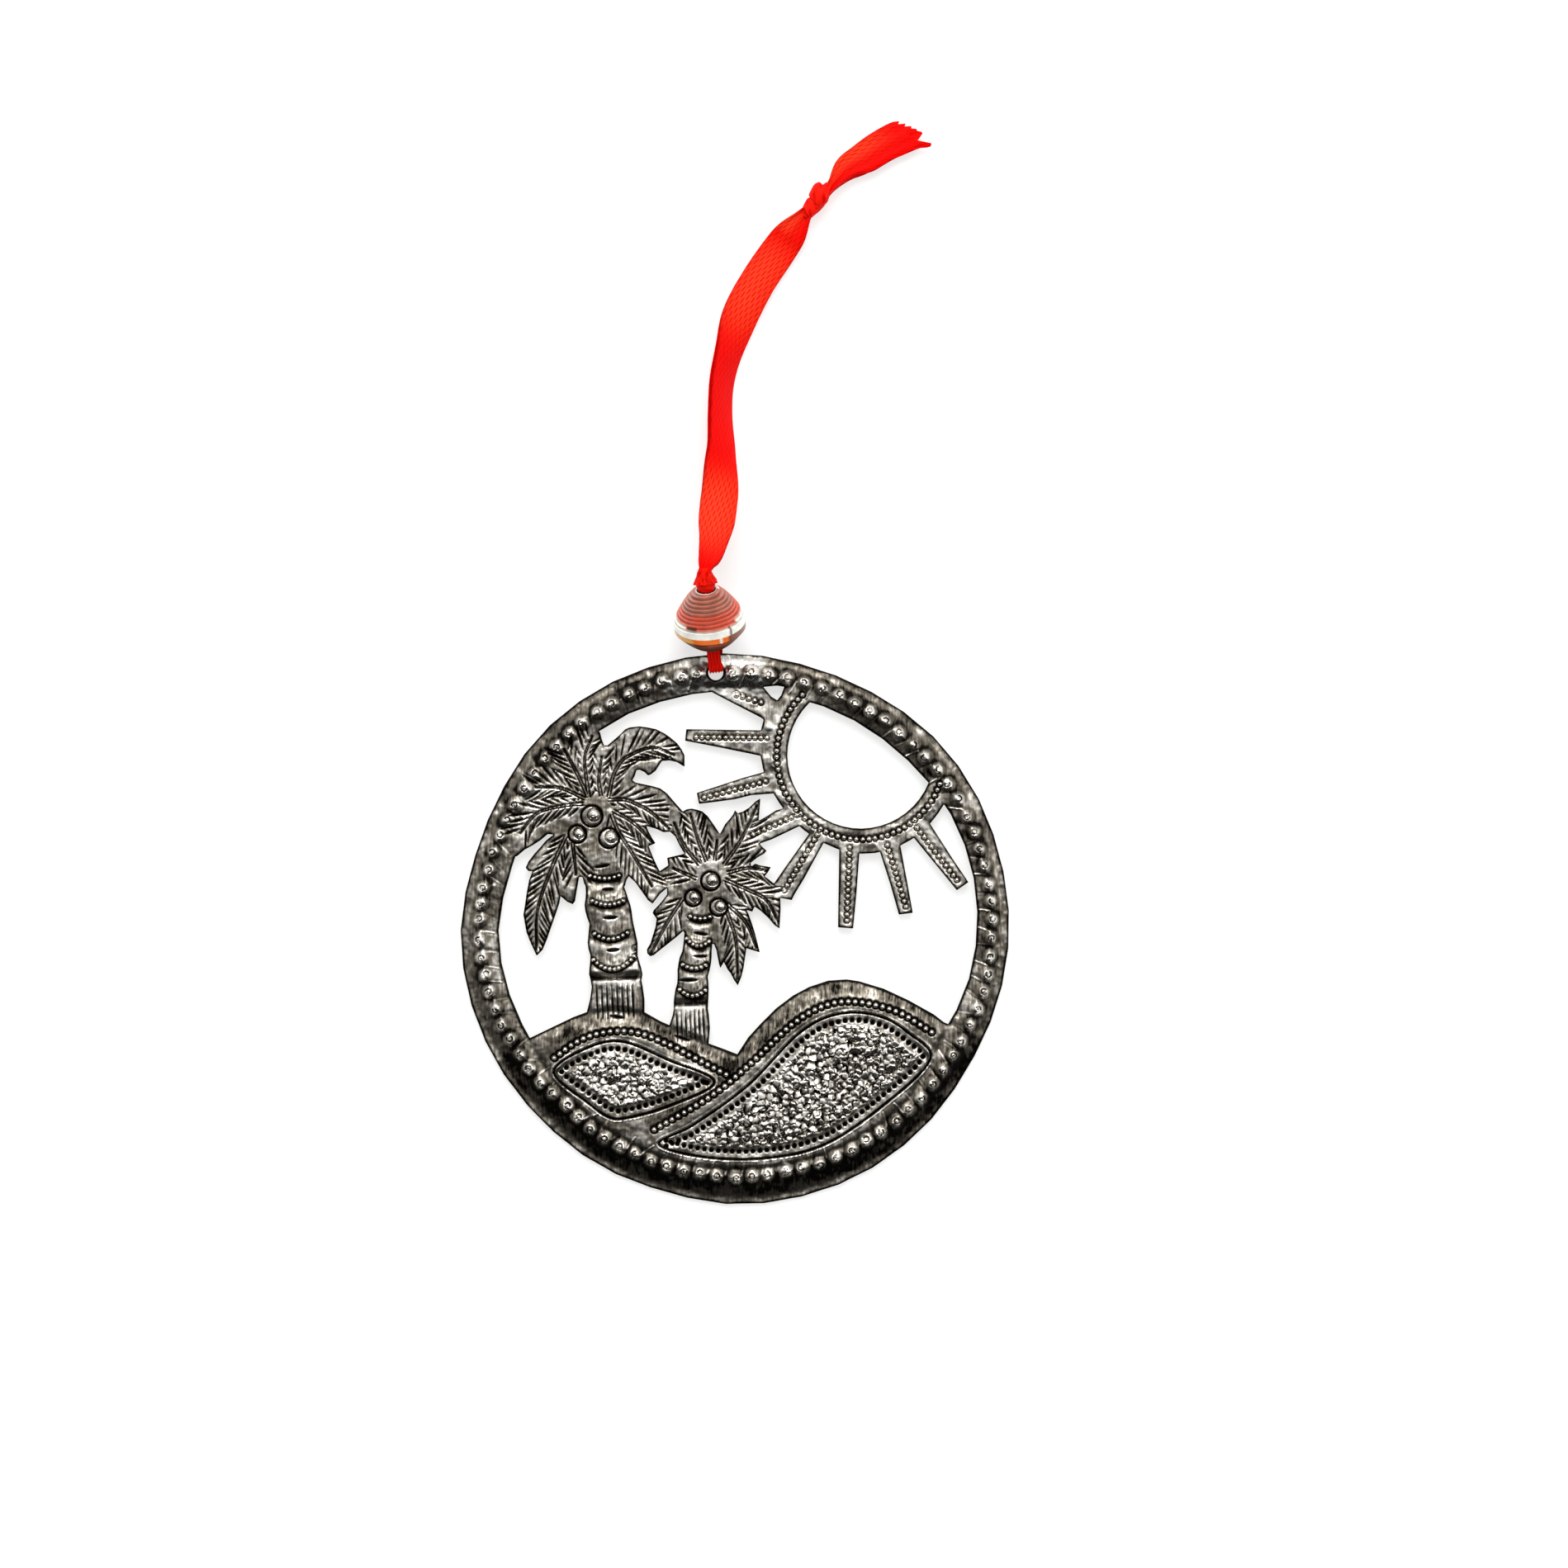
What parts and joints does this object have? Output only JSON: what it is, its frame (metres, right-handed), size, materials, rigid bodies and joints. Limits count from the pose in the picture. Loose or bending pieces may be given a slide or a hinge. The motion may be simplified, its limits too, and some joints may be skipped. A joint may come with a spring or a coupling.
{
  "type": "pierced metal disc ornament",
  "caption": "Round pierced and embossed steel ornament with palms, a sun and hills inside a bossed rim, hung from a knotted satin ribbon with a rolled-paper bead.",
  "frame": {"origin": "centre of the disc, on the plane of its flat back edge", "axes": "+Z out of the embossed face, +Y from the middle of the disc towards the hanging hole's side, +X to the right of the picture"},
  "size_m": [0.0947, 0.187, 0.0124],
  "materials": {
    "steel": "hammered, dark in the recesses and burnished on the high spots",
    "satin_ribbon": "satin weave",
    "varnished_paper": "varnished printed paper, rolled in steps"
  },
  "bodies": {
    "disc": {"steel_panel": "steel"},
    "hanger": {"ribbon_strap": "satin_ribbon"},
    "neck": {"ribbon_neck": "satin_ribbon", "neck_knot": "satin_ribbon"},
    "bead": {"paper_bead": "varnished_paper"},
    "loop": {"ribbon_leg_front": "satin_ribbon", "ribbon_leg_back": "satin_ribbon", "end_knot": "satin_ribbon", "ribbon_tail_front": "satin_ribbon", "ribbon_tail_back": "satin_ribbon"}
  },
  "joints": [
    {"name": "hanger_turn", "type": "hinge", "parent": "disc", "child": "hanger", "pos_m": [-0.0032, 0.04429, 0.002], "axis": [0, 0, 1], "range_deg": [-12, 12]},
    {"name": "hanger_swing", "type": "hinge", "parent": "hanger", "child": "neck", "pos_m": [-0.00352, 0.04737, 0.00185], "axis": [0.9945, 0.1045, 0], "range_deg": [-120, 12]},
    {"name": "bead_spin", "type": "hinge", "parent": "neck", "child": "bead", "pos_m": [-0.00418, 0.05365, 0.00634], "axis": [-0.0886, 0.8434, 0.5299], "continuous": true},
    {"name": "loop_fold", "type": "hinge", "parent": "neck", "child": "loop", "pos_m": [-0.00505, 0.06188, 0.0115], "axis": [0.9945, 0.1045, 0], "range_deg": [-20, 110]}
  ]
}
